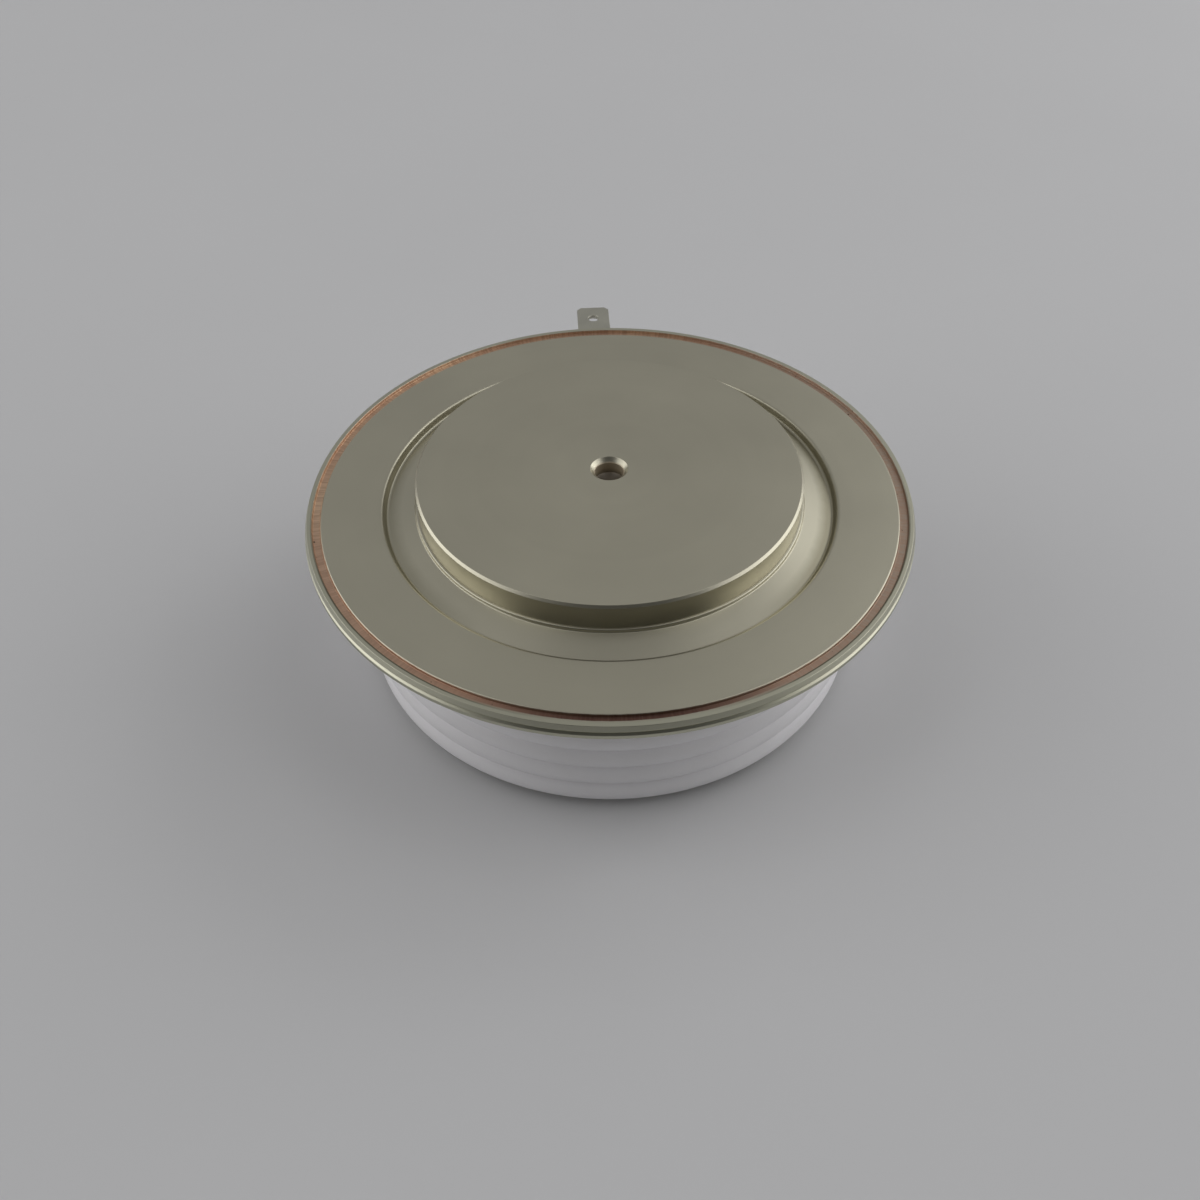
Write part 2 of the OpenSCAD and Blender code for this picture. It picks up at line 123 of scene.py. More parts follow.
# %% [markdown]
# ## Floor and light
#
# Plated metal shows what stands around it, so the light is planned by what each face mirrors. The flat
# faces mirror one broad, weak softbox high behind the capsule. The chamfers and bevels mirror the left and
# the right, where softboxes stand at three heights and draw the bright thin lines. A wide one under the
# ceiling lights the floor and leaves the soft shadow under the flange. A small one at the right is like a
# window and brightens that side a little. Nothing shines behind the camera, so the pole's wall stays dark
# in front, which gives it its depth.

# %% Lay the floor
scene.view_settings.view_transform = "Standard"

FLOOR_REACH = 3.0
floor_corners = [(x * FLOOR_REACH, y * FLOOR_REACH, 0) for x, y in ((-1, -1), (1, -1), (1, 1), (-1, 1))]
floor_mesh = bpy.data.meshes.new("floor")
floor_mesh.from_pydata(floor_corners, [], [(0, 1, 2, 3)])
floor = new_object("floor", floor_mesh)


# %% Set up the softboxes
def softbox(name, at, aim, size, energy):
    """A rectangular area light at one point in metres, turned to face another."""
    light = bpy.data.lights.new(name, "AREA")
    light.shape = "RECTANGLE"
    light.size, light.size_y = size
    light.energy = energy
    lamp = new_object(name, light)
    lamp.location = at
    lamp.rotation_euler = (Vector(aim) - Vector(at)).to_track_quat("-Z", "Y").to_euler()


for side, name in ((-1, "left"), (1, "right")):
    softbox(name + "_softbox", (0.80 * side, 0.05, 0.47), (0, 0.05, 0.47), (1.2, 0.86), 3.1 + 0.15 * side)
    softbox(name + "_low_softbox", (0.78 * side, 0.12, 0.24), (0, 0.12, 0.24), (0.9, 0.44), 1.0)
    softbox(name + "_high_softbox", (0.50 * side, -0.05, 1.0), (0, 0, 0), (0.5, 0.5), 0.7)
softbox("ceiling_softbox", (0, 0.22, 1.1), (0, 0.22, 0), (2.0, 1.4), 2.0)
softbox("back_softbox", (0, 1.0, 0.62), (0, 0, 0), (1.8, 1.0), 1.8)
softbox("window_softbox", (0.66, 0.52, 0.56), (0, 0, 0), (0.65, 0.55), 0.93)

world = bpy.data.worlds.new("room")
scene.world = world
world.use_nodes = True
world.node_tree.nodes["Background"].inputs["Color"].default_value = (1, 1, 1, 1)
world.node_tree.nodes["Background"].inputs["Strength"].default_value = 0.05

# %% [markdown]
# ## Building shader trees in code
#
# A material is a small graph. A few helpers keep the code readable: the first adds a node and fills or
# links its sockets, and the others add a Math node, a change of range or a blend and hand back the result.


# %% Helpers for node trees
def put(tree, kind, values=None, **settings):
    """Adds a node. Each value is a socket to link from, or a plain number, colour or vector."""
    node = tree.nodes.new(kind)
    for name, setting in settings.items():
        setattr(node, name, setting)
    for key, value in (values or {}).items():
        if isinstance(value, bpy.types.NodeSocket):
            tree.links.new(value, node.inputs[key])
        else:
            node.inputs[key].default_value = value
    return node


def calc(tree, operation, *values, clamp=False):
    """The result of a Math node."""
    node = put(tree, "ShaderNodeMath", dict(enumerate(values)), operation=operation, use_clamp=clamp)
    return node.outputs[0]


def product(tree, first, *others):
    """Several masks multiplied, so that only what lies in all of them is left."""
    for other in others:
        first = calc(tree, "MULTIPLY", first, other)
    return first


def ramp(tree, value, from_low, from_high, to_low=0.0, to_high=1.0):
    """A value carried from one range to another and held there."""
    limits = {"From Min": from_low, "From Max": from_high, "To Min": to_low, "To Max": to_high}
    return put(tree, "ShaderNodeMapRange", {"Value": value, **limits}).outputs["Result"]


def mix_colour(tree, share, one, other):
    """One colour blended into another by a mask."""
    share_in, one_in, other_in, colour_out = 0, 6, 7, 2
    settings = {share_in: share, one_in: one, other_in: other}
    return put(tree, "ShaderNodeMix", settings, data_type="RGBA").outputs[colour_out]


def own_place(tree):
    """The piece's own coordinates in metres."""
    return put(tree, "ShaderNodeTexCoord").outputs["Object"]


def own_axes(tree):
    """The piece's own coordinates one by one: to the right, to the back and up."""
    return put(tree, "ShaderNodeSeparateXYZ", {0: own_place(tree)}).outputs


def from_axis(tree):
    """The flat vector from the capsule's axis to a point, and its length, which is the radius there."""
    axes = own_axes(tree)
    flat = put(tree, "ShaderNodeCombineXYZ", {0: axes[0], 1: axes[1]}).outputs[0]
    return flat, put(tree, "ShaderNodeVectorMath", {0: flat}, operation="LENGTH").outputs["Value"]


# %% [markdown]
# ## Effects that several finishes share
#
# A lathe tool leaves rings, so a turned face has a fine grain that runs around the axis. The group turns
# an Object coordinate into a radius plus a height, which changes across the rings on a flat face as well as
# on an upright wall, and feeds noise that is long around the axis and short across it.


# %% Turning marks
def new_group(name, inputs, outputs):
    """An empty shader group, and the sockets inside it that bring its numbers in and take them out."""
    group = bpy.data.node_groups.new(name, "ShaderNodeTree")
    for label, value in inputs.items():
        group.interface.new_socket(label, in_out="INPUT", socket_type="NodeSocketFloat").default_value = value
    for label in outputs:
        group.interface.new_socket(label, in_out="OUTPUT", socket_type="NodeSocketFloat")
    return group, group.nodes.new("NodeGroupInput").outputs, group.nodes.new("NodeGroupOutput").inputs


turning_inputs = {"Rings per mm": 4, "Streak": 3, "Seed": 0}
turning, given, result = new_group("Turning marks", turning_inputs, ["Height", "Tone"])
flat, radius = from_axis(turning)
outward = put(turning, "ShaderNodeVectorMath", {0: flat}, operation="NORMALIZE").outputs["Vector"]
around = put(turning, "ShaderNodeSeparateXYZ", {0: outward}).outputs
rings_per_metre = calc(turning, "MULTIPLY", given["Rings per mm"], 1 / MM)
across = product(turning, calc(turning, "ADD", radius, own_axes(turning)[2]), rings_per_metre)
along = [calc(turning, "MULTIPLY", around[k], given["Streak"]) for k in (0, 1)]
streaked = put(turning, "ShaderNodeCombineXYZ", {0: across, 1: along[0], 2: along[1]}).outputs[0]
for label, scale, detail in (("Height", 1.0, 3.0), ("Tone", 0.12, 2.0)):
    settings = {"Vector": streaked, "W": given["Seed"], "Scale": scale, "Detail": detail}
    noise = put(turning, "ShaderNodeTexNoise", settings, noise_dimensions="4D").outputs["Fac"]
    turning.links.new(noise, result[label])
print("group:", turning.name, len(turning.nodes), "nodes")

# %% [markdown]
# Satin plating isn't even: it has a fine pearly grain, and clouds where the bath worked harder. Ceramic and
# plastic have both too, only weaker. Bare copper adds tiny dark specks. One group serves them all, and each
# material sets only the sizes that it uses.

# %% Satin grain, clouds and specks
satin_inputs = {"Grain mm": 0.15, "Cloud mm": 9, "Speck mm": 0.5, "Specks": 0.03, "Seed": 0}
satin, given, result = new_group("Satin and specks", satin_inputs, ["Grain", "Cloud", "Specks"])
satin_place = own_place(satin)
satin_seed = given["Seed"]


def noise_at(size_mm, detail, shift):
    """Noise on the object's own coordinates, with features of about this size."""
    scale = calc(satin, "DIVIDE", 1 / MM, size_mm)
    seed = calc(satin, "ADD", satin_seed, shift)
    settings = {"Vector": satin_place, "W": seed, "Scale": scale, "Detail": detail}
    return put(satin, "ShaderNodeTexNoise", settings, noise_dimensions="4D").outputs["Fac"]


satin.links.new(noise_at(given["Grain mm"], 2.0, 0.0), result["Grain"])
satin.links.new(ramp(satin, noise_at(given["Cloud mm"], 3.0, 5.0), 0.3, 0.7), result["Cloud"])
speck_edge = calc(satin, "SUBTRACT", 0.80, given["Specks"])
specks = ramp(satin, noise_at(given["Speck mm"], 1.0, 9.0), speck_edge, calc(satin, "ADD", speck_edge, 0.03))
satin.links.new(specks, result["Specks"])
print("group:", satin.name, len(satin.nodes), "nodes")

# %% [markdown]
# Some finishes stay inside a ring: bare copper in the weld groove, tarnish in the centring hole. This group
# gives a mask that is one between two radii, with an edge that wanders a little as a real plating edge does.

# %% A mask between two radii
band_inputs = {"Inner mm": 10, "Outer mm": 20, "Soft mm": 0.1, "Wander mm": 0.05}
band, given, result = new_group("Ring band", band_inputs, ["Mask"])
_, radius = from_axis(band)
settings = {"Vector": own_place(band), "Scale": 0.9 / MM, "Detail": 2.0}
wander = calc(band, "SUBTRACT", put(band, "ShaderNodeTexNoise", settings).outputs["Fac"], 0.5)
shift = calc(band, "MULTIPLY", wander, calc(band, "MULTIPLY", given["Wander mm"], 2.0))
radius_mm = calc(band, "ADD", calc(band, "DIVIDE", radius, MM), shift)
softness = calc(band, "MAXIMUM", given["Soft mm"], 0.001)
edges = []
for far, near in ((radius_mm, given["Inner mm"]), (given["Outer mm"], radius_mm)):
    distance = calc(band, "DIVIDE", calc(band, "SUBTRACT", far, near), softness)
    edges.append(calc(band, "ADD", distance, 0.5, clamp=True))
band.links.new(product(band, *edges), result["Mask"])
print("group:", band.name, len(band.nodes), "nodes")

# %% [markdown]
# ## Finishes
#
# Every material starts the same way: a Principled shader and the groups it needs. Constant values go
# straight on the shader's sockets, and only what changes over the surface is linked.


# %% Start a material
def new_material(name, metallic=0.0):
    """A material with its Principled shader, and a plain constant metallic value."""
    material = bpy.data.materials.new(name)
    material.use_nodes = True
    shader = material.node_tree.nodes["Principled BSDF"]
    shader.inputs["Metallic"].default_value = metallic
    return material, material.node_tree, shader


def group_node(tree, group, **values):
    """Places a shader group in a material, with its own values by input name."""
    node = put(tree, "ShaderNodeGroup", node_tree=group)
    for label, value in values.items():
        node.inputs[label.replace("_", " ")].default_value = value
    return node.outputs


def ring_mask(tree, inner, outer, soft, wander):
    """A mask between two radii in millimetres."""
    return group_node(tree, band, Inner_mm=inner, Outer_mm=outer, Soft_mm=soft, Wander_mm=wander)["Mask"]


def shade(tree, amount, low, high):
    """A level that goes from low to high with a mask."""
    return ramp(tree, amount, 0.0, 1.0, low, high)


def times(tree, colour, level):
    """A colour made lighter or darker by a level that varies over the surface."""
    settings = {0: colour[:3], "Scale": level}
    return put(tree, "ShaderNodeVectorMath", settings, operation="SCALE").outputs["Vector"]


def clouded(tree, colour, grain, low, high):
    """A colour that the finish's clouds make a little lighter or darker."""
    return times(tree, colour, shade(tree, grain["Cloud"], low, high))


def ripple(tree, base, low, high, fine, swing):
    """A level that goes from low to high with one mask, while a finer one lets it swing a little."""
    return calc(tree, "ADD", shade(tree, base, low, high), shade(tree, fine, -swing, swing))


def turned_relief(tree, rings, grain, share):
    """The height of turning marks and plating grain together, where the marks have this share."""
    marks = calc(tree, "MULTIPLY", rings["Height"], share)
    return calc(tree, "ADD", marks, calc(tree, "MULTIPLY", grain["Grain"], 1 - share))


def finish_surface(tree, shader, colour, roughness):
    """Links the colour and the roughness that vary over the surface."""
    tree.links.new(colour, shader.inputs["Base Color"])
    tree.links.new(roughness, shader.inputs["Roughness"])


def finish_bump(tree, shader, height, strength, distance_mm):
    """Fine relief from a height that varies over the surface."""
    settings = {"Height": height, "Strength": strength, "Distance": distance_mm * MM}
    tree.links.new(put(tree, "ShaderNodeBump", settings).outputs["Normal"], shader.inputs["Normal"])


# %% [markdown]
# ### Nickel on the poles
#
# The poles are turned copper with a matt nickel plating. The colour is a warm grey. The contact faces are
# finely lapped, so their grain is even, and only a trace of the rings shows. Plating hardly reaches into
# the narrow centring hole, so its wall is dull, tarnished copper, with painted shade that darkens it towards
# the bottom.

# %% Nickel of the poles
NICKEL = (0.515, 0.49, 0.39, 1)
HOLE_COPPER = (0.46, 0.38, 0.27, 1)
HOLE_DARK_LEVEL, HOLE_LIGHT_LEVEL = 23.8, 24.6
pole_nickel, tree, shader = new_material("pole_nickel", metallic=1.0)
rings = group_node(tree, turning, Rings_per_mm=3.0, Streak=2.0, Seed=1)
grain = group_node(tree, satin, Grain_mm=0.22, Cloud_mm=12, Seed=1)
in_hole = ring_mask(tree, -1.0, HOLE_R + 0.07, 0.2, 0.06)
# Painted shade: the copper in the hole is darkened towards the bottom.
painted_hole_shade = ramp(tree, own_axes(tree)[2], HOLE_DARK_LEVEL * MM, HOLE_LIGHT_LEVEL * MM, 0.36, 1.0)
plated = times(tree, NICKEL, ripple(tree, grain["Cloud"], 0.97, 1.03, rings["Tone"], 0.03))
colour = mix_colour(tree, in_hole, plated, times(tree, HOLE_COPPER, painted_hole_shade))
finish_surface(tree, shader, colour, ripple(tree, grain["Cloud"], 0.32, 0.37, rings["Height"], 0.03))
tree.links.new(shade(tree, in_hole, 1.0, 0.1), shader.inputs["Metallic"])
finish_bump(tree, shader, turned_relief(tree, rings, grain, 0.6), 0.5, 0.004)

# %% [markdown]
# ### Nickel on the flanges, with copper in the groove
#
# Both flanges are pressed from copper sheet and plated. The cold weld squeezes a groove around the rim and
# cracks the plating there, so the groove shows bare copper, with fine ribs that the press leaves across it.
# Painted shade darkens two narrow places: the deep corner of the sunk channel, where a little grime lies too,
# and the crevice between the copper and the lip. Each place is a ring mask, and a second mask from the
# object's own left-right or front-back coordinate limits it to a part of the rim.

# %% Places on the flange
flange_nickel, tree, shader = new_material("flange_nickel", metallic=1.0)
to_right, to_back, _ = own_axes(tree)
right = ramp(tree, to_right, -0.004, 0.030)
left = product(tree, ramp(tree, to_right, -0.006, -0.022), ramp(tree, to_back, -0.024, 0.004, 0.25, 0.9))
behind = product(tree, ramp(tree, to_back, 0.004, 0.024, 0.0, 0.6), ramp(tree, to_right, 0.026, 0.008))
front = ramp(tree, to_back, -0.0312, -0.0352)
beside = ramp(tree, calc(tree, "ABSOLUTE", to_right), 0.015, 0.023)

# In the very front the copper shows on the inner half of the groove only.
full_groove = product(tree, ring_mask(tree, 35.27, 36.32, 0.08, 0.05), calc(tree, "SUBTRACT", 1.0, front))
half_groove = product(tree, ring_mask(tree, 35.22, 35.86, 0.12, 0.05), front)
groove = calc(tree, "ADD", full_groove, half_groove)
lip = ring_mask(tree, 36.2, 50.0, 0.2, 0.05)
# Painted shade with some grime: the channel's deep corner is darkened at the left and right, most on the
# right.
corner = product(tree, ring_mask(tree, 26.1, 27.7, 1.2, 0.15), beside, shade(tree, right, 0.4, 0.85))

# The crevice's painted shade lies in the front half and stops where the painted dark copper in front starts.
crevice_shade = product(
    tree,
    ring_mask(tree, 36.26, 36.47, 0.08, 0.03),
    ramp(tree, to_back, 0.004, -0.016, 0.0, 0.85),
    ramp(tree, to_back, -0.0355, -0.031),
)

# %% [markdown]
# The copper is painted lighter and golden on the left and at the back, darker and greyer on the right, and
# almost brown-black in front, where some plating also stayed on: painted light and shade by side. Each tint
# is blended over the one before it.

# %% Copper in the groove
COPPER = (0.68, 0.42, 0.31, 1)
COPPER_DARK = (0.44, 0.28, 0.20, 1)
COPPER_PAINTED_LIGHT = (0.80, 0.60, 0.42, 1)
COPPER_PAINTED_SHADE = (0.43, 0.355, 0.285, 1)
COPPER_FRONT_SHADE = (0.13, 0.07, 0.055, 1)
SPECK = (0.03, 0.025, 0.02, 1)
copper_rings = group_node(tree, turning, Rings_per_mm=6.0, Streak=9.0, Seed=7)
copper_spots = group_node(tree, satin, Cloud_mm=6, Speck_mm=0.55, Specks=0.06, Seed=8)
pressed = group_node(tree, turning, Rings_per_mm=0.3, Streak=160, Seed=9)["Height"]
patches = group_node(tree, satin, Grain_mm=0.5, Cloud_mm=9, Seed=10)
bare = product(tree, copper_rings["Height"], copper_spots["Cloud"])
# Painted light: the copper is lighter and golden on the left and at the back.
painted_light_left_back = product(tree, calc(tree, "MAXIMUM", left, behind), ramp(tree, patches["Cloud"], 0.3, 0.6, 0.6, 1.0))
patchy = ramp(tree, patches["Grain"], 0.3, 0.6, 0.5, 1.0)
# Painted shade: the copper is darker and greyer on the right.
painted_shade_right = product(tree, right, ramp(tree, to_back, 0.036, 0.028), patchy)
# Painted shade: the copper is almost black in front.
painted_shade_front = product(tree, front, ramp(tree, pressed, 0.25, 0.6, 0.85, 1.0))
copper = mix_colour(tree, bare, COPPER_DARK, COPPER)
copper = mix_colour(tree, painted_light_left_back, copper, COPPER_PAINTED_LIGHT)
copper = mix_colour(tree, painted_shade_right, copper, COPPER_PAINTED_SHADE)
copper = mix_colour(tree, ramp(tree, pressed, 0.6, 0.4, 0.0, 0.55), copper, COPPER_DARK)
copper = mix_colour(tree, painted_shade_front, copper, COPPER_FRONT_SHADE)
copper = mix_colour(tree, copper_spots["Specks"], copper, SPECK)

# %% Nickel, painted shade and copper together
LIP_NICKEL = (0.50, 0.49, 0.39, 1)
CREVICE_SHADE = (0.11, 0.10, 0.065, 1)
CORNER_SHADE_AND_GRIME = (0.26, 0.24, 0.17, 1)
rings = group_node(tree, turning, Rings_per_mm=2.2, Streak=2.5, Seed=3)
grain = group_node(tree, satin, Grain_mm=0.2, Cloud_mm=14, Seed=4)
tone = ripple(tree, grain["Cloud"], 0.96, 1.04, rings["Tone"], 0.05)
surface = mix_colour(tree, lip, times(tree, NICKEL, tone), times(tree, LIP_NICKEL, tone))
# Painted shade with some grime in the channel's deep corner.
surface = mix_colour(tree, corner, surface, CORNER_SHADE_AND_GRIME)
surface = mix_colour(tree, groove, surface, copper)
# Painted shade: a dark line in the crevice between the copper and the lip.
surface = mix_colour(tree, crevice_shade, surface, CREVICE_SHADE)
rough = ripple(tree, grain["Cloud"], 0.32, 0.38, rings["Height"], 0.04)
finish_surface(tree, shader, surface, calc(tree, "ADD", rough, shade(tree, groove, 0.0, 0.1)))
finish_bump(tree, shader, turned_relief(tree, rings, grain, 0.7), 0.5, 0.005)

# %% [markdown]
# ### Nickel on the tabs and the gate tube
#
# The terminals are stamped from thin strip, so they have the fine straight grain of rolled metal.

# %% Nickel of the tabs
TAB_NICKEL = (0.50, 0.49, 0.42, 1)
tab_nickel, tree, shader = new_material("tab_nickel", metallic=1.0)
grain = group_node(tree, satin, Cloud_mm=3, Seed=11)
settings = {"Vector": own_place(tree), "Scale": (9.0, 0.5, 3.0)}
stretched = put(tree, "ShaderNodeMapping", settings).outputs["Vector"]
strip = put(tree, "ShaderNodeTexNoise", {"Vector": stretched, "Scale": 1 / MM, "Detail": 2.0}).outputs["Fac"]
colour = times(tree, TAB_NICKEL, ripple(tree, grain["Cloud"], 0.94, 1.04, strip, 0.05))
finish_surface(tree, shader, colour, shade(tree, grain["Cloud"], 0.36, 0.46))
finish_bump(tree, shader, strip, 0.4, 0.004)

# %% [markdown]
# ### White alumina
#
# The housing is fired alumina without a glaze: white, matt, very slightly cool, with a grain that you feel
# rather than see and faint clouds.

# %% Alumina
ALUMINA = (0.86, 0.845, 0.86, 1)
white_alumina, tree, shader = new_material("white_alumina")
grain = group_node(tree, satin, Grain_mm=0.1, Cloud_mm=8, Seed=21)
colour = clouded(tree, ALUMINA, grain, 0.97, 1.0)
finish_surface(tree, shader, colour, shade(tree, grain["Grain"], 0.5, 0.62))
finish_bump(tree, shader, grain["Grain"], 0.3, 0.01)

# %% [markdown]
# ### Floor
#
# The capsule stands on a plain pale grey sheet with hardly any texture, so nothing competes with it.

# %% Floor sheet
PALE_GREY = (0.66, 0.66, 0.67, 1)
floor_grey, tree, shader = new_material("floor_grey")
grain = group_node(tree, satin, Cloud_mm=60, Seed=31)
tree.links.new(clouded(tree, PALE_GREY, grain, 0.985, 1.0), shader.inputs["Base Color"])
shader.inputs["Roughness"].default_value = 0.6
shader.inputs["Specular IOR Level"].default_value = 0.2
floor_mesh.materials.append(floor_grey)
print("materials:", [m.name for m in (pole_nickel, flange_nickel, tab_nickel, white_alumina, floor_grey)])

# %% [markdown]
# ## Turned pieces
#
# A lathe piece is an outline turned around the axis. The outline is written as corners, each with a radius,
# a level and a rounding, the way a turner reads a drawing. Next to each rounding the helper adds one more
# ring close by. That keeps the smooth shading of the rounding from spreading over the flat face beside it.

# %% From corners to an outline
SIDES = 288
SUPPORT = 0.05


def rounded_outline(corners, steps=6):
    """A closed outline in millimetres from corners (radius, level, rounding)."""
    points = []
    for index, (r, z, rounding) in enumerate(corners):
        corner = Vector((r, z))
        if not rounding:
            points.append(corner)
            continue
        before = Vector(corners[index - 1][:2]) - corner
        after = Vector(corners[(index + 1) % len(corners)][:2]) - corner
        half = before.angle(after) / 2
        back, ahead = before.normalized(), after.normalized()
        run = rounding / math.tan(half)
        middle = corner + (back + ahead).normalized() * rounding / math.sin(half)
        start, end = corner + back * run, corner + ahead * run
        first = math.atan2(start.y - middle.y, start.x - middle.x)
        swing = math.atan2(end.y - middle.y, end.x - middle.x) - first
        swing = (swing + math.pi) % (2 * math.pi) - math.pi
        if before.length > run + 3 * SUPPORT:
            points.append(start + back * SUPPORT)
        for step in range(steps + 1):
            turn = first + swing * step / steps
            points.append(middle + rounding * Vector((math.cos(turn), math.sin(turn))))
        if after.length > run + 3 * SUPPORT:
            points.append(end + ahead * SUPPORT)
    return points


# %% From an outline to a piece
SHARP_EDGE = math.radians(35)


def new_piece(name, mesh, material, slot, *replaced):
    """Links a mesh as a piece of the object, smooth except at real edges, in place of its CAD nodes."""
    mesh.shade_smooth()
    mesh.set_sharp_from_angle(angle=SHARP_EDGE)
    mesh.materials.clear()
    mesh.materials.append(material)
    piece = new_object(name, mesh)
    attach(piece, "root")
    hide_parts(*replaced)
    low = [round(min(v.co[k] for v in mesh.vertices) / MM, 2) for k in range(3)]
    high = [round(max(v.co[k] for v in mesh.vertices) / MM, 2) for k in range(3)]
    print(name, len(mesh.polygons), "faces,", low, "to", high)


def lofted_mesh(name, loops):
    """A closed mesh through loops of points in millimetres. A loop of one point is a pole."""
    vertices, rings, faces = [], [], []
    width = max(len(loop) for loop in loops)
    for loop in loops:
        rings.append([len(vertices) + k % len(loop) for k in range(width)])
        vertices += [Vector(point) * MM for point in loop]
    for ring, following in zip(rings, rings[1:] + rings[:1]):
        for side in range(width):
            beside = (side + 1) % width
            corners = dict.fromkeys((ring[side], ring[beside], following[beside], following[side]))
            if len(corners) > 2:
                faces.append(list(corners))
    mesh = bpy.data.meshes.new(name)
    mesh.from_pydata(vertices, [], faces)
    shape = bmesh.new()
    shape.from_mesh(mesh)
    bmesh.ops.recalc_face_normals(shape, faces=shape.faces)
    shape.to_mesh(mesh)
    shape.free()
    return mesh


def turned_mesh(name, outline, sides=SIDES):
    """A closed mesh from an outline in millimetres, turned around the axis."""
    angles = [2 * math.pi * side / sides for side in range(sides)]
    loops = []
    for r, z in outline:
        loops.append([(r * math.cos(a), r * math.sin(a), z) for a in angles] if r > 1e-6 else [(0, 0, z)])
    return lofted_mesh(name, loops)


def turned_piece(name, corners, material, slot, replaced):
    """A piece of the object that is turned from its corners alone."""
    new_piece(name, turned_mesh(name, rounded_outline(corners)), material, slot, replaced)


# %% [markdown]
# ## Upper pole
#
# The upper pole is a short, thick copper disc. Its top is the contact face, with a small chamfer around it
# and a centring hole in the middle that takes a pin in the heat sink. The hole has a chamfer of its own and
# ends in the cone that a drill leaves. Underneath, inside the capsule, the pole has the round bore for the
# gate contact and a slot for the gate's wire.

# %% Turn the upper pole
contact_r, pole_foot, pole_top = cad_size("cathode_pole_piece")
DRILL_POINT = 1.0
INNER_CHAMFER = 0.5
GATE_BORE_R, GATE_BORE_TOP = 4.5, 20.0
upper_pole_mesh = turned_mesh("upper_pole", rounded_outline([
    (0, GATE_BORE_TOP, 0),
    (GATE_BORE_R, GATE_BORE_TOP, 0.05),
    (GATE_BORE_R, pole_foot, 0.05),
    (contact_r - INNER_CHAMFER, pole_foot, 0.05),
    (contact_r, pole_foot + INNER_CHAMFER, 0.05),
    (contact_r, pole_top - POLE_CHAMFER, 0.08),
    (contact_r - POLE_CHAMFER, pole_top, 0.08),
    (HOLE_R + HOLE_CHAMFER, pole_top, 0.06),
    (HOLE_R, pole_top - HOLE_CHAMFER, 0.06),
    (HOLE_R, pole_top - HOLE_DEPTH, 0.05),
    (0, pole_top - HOLE_DEPTH - DRILL_POINT, 0),
]))

# %% [markdown]
# The wire slot isn't round, so it is cut. A Boolean modifier takes a box away from the turned disc, and the
# finished mesh is read back from the evaluated object, which leaves no modifier behind.


# %% Cut the slot
def box_mesh(name, low, high):
    """A closed box between two corners in millimetres."""
    shape = bmesh.new()
    bmesh.ops.create_cube(shape, size=1.0)
    for vertex in shape.verts:
        vertex.co = Vector([(high[k] if vertex.co[k] > 0 else low[k]) * MM for k in range(3)])
    mesh = bpy.data.meshes.new(name)
    shape.to_mesh(mesh)
    shape.free()
    return mesh


def evaluated_mesh(piece):
    """A plain copy of the mesh that an object's modifiers make."""
    evaluated = piece.evaluated_get(bpy.context.evaluated_depsgraph_get())
    return bpy.data.meshes.new_from_object(evaluated)


def cut_mesh(mesh, tool):
    """The mesh with another closed mesh taken away."""
    piece = new_object("blank", mesh)
    cutter = new_object("cutter", tool)
    modifier = piece.modifiers.new("cut", "BOOLEAN")
    modifier.operation = "DIFFERENCE"
    modifier.solver = "EXACT"
    modifier.object = cutter
    result = evaluated_mesh(piece)
    bpy.data.objects.remove(piece)
    bpy.data.objects.remove(cutter)
    return result


SLOT_START = 0.5
slot_low = (SLOT_START, -SLOT_HALF, pole_foot - 1)
slot_high = (contact_r + 1, SLOT_HALF, GATE_LEVEL + SLOT_HALF)
slot_tool = box_mesh("slot", slot_low, slot_high)
slot_tool.transform(Matrix.Rotation(GATE_ANGLE, 4, "Z"))
upper_pole_mesh = cut_mesh(upper_pole_mesh, slot_tool)
upper_pole_mesh.name = "upper_pole"
new_piece("upper_pole", upper_pole_mesh, pole_nickel, "nickel_pole", "cathode_pole_piece")

# %% [markdown]
# ## Upper flange
#
# The upper flange is a thin sheet that closes the capsule and still gives a little when it is clamped. From
# the pole outwards it has a low edge turned up and brazed to the pole, a channel that gets deeper outwards
# and ends in a steep wall, a flat ring, the shallow weld groove and a narrow lip that stands slightly
# higher and has a bevelled edge. One outline holds all of it. Edge roundings decide how wide the bright
# lines become: a sharp edge hardly shows, and a rounding of 0.2 mm draws a clear line.

# %% Turn the upper flange
rim_r, _, _ = cad_size("cathode_flange")
_, weld_low, weld_top = cad_size("weld_flange")
RIM_TOP, RING_TOP = 22.5, 22.4
LIP_R, SEAM_R = 36.3, 36.6
CHANNEL_LOW = 21.02
upper_flange_corners = [
    # The rim: from the seam outwards, up the bevel, and in over the lip
    (SEAM_R, weld_top, 0),
    (36.95, 21.66, 0.02),
    (37.15, 21.88, 0.05),
    (36.88, RIM_TOP, 0.05),
    (LIP_R, RIM_TOP, 0.08),
    # The weld groove and the flat ring
    (36.2, 22.1, 0.05),
    (35.38, 22.08, 0.06),
    (35.24, RING_TOP, 0.2),
    (27.85, RING_TOP, 0.45),
    # The channel, from its deep corner up to the edge at the pole
    (27.4, 21.45, 0.35),
    (23.9, 22.36, 0.12),
    (23.78, 22.72, 0.16),
    (contact_r, 22.76, 0.02),
    # Back underneath
    (contact_r, 21.6, 0.03),
    (24.0, 21.6, 0.05),
    (26.9, CHANNEL_LOW, 0.3),
    (27.5, CHANNEL_LOW, 0.15),
    (27.84, weld_top, 0.05),
]
turned_piece("upper_flange", upper_flange_corners, flange_nickel, "nickel_flange", "cathode_flange")

# %% [markdown]
# ## Weld flange
#
# The weld flange is brazed on the ceramic. Its rim lies under the upper flange's rim, and cold welding
# presses both together until they are one metal. The press leaves a groove on this side too. Outside the
# weld both edges stay apart by a hair, and this sheet's bevel shows below the other as a second line.

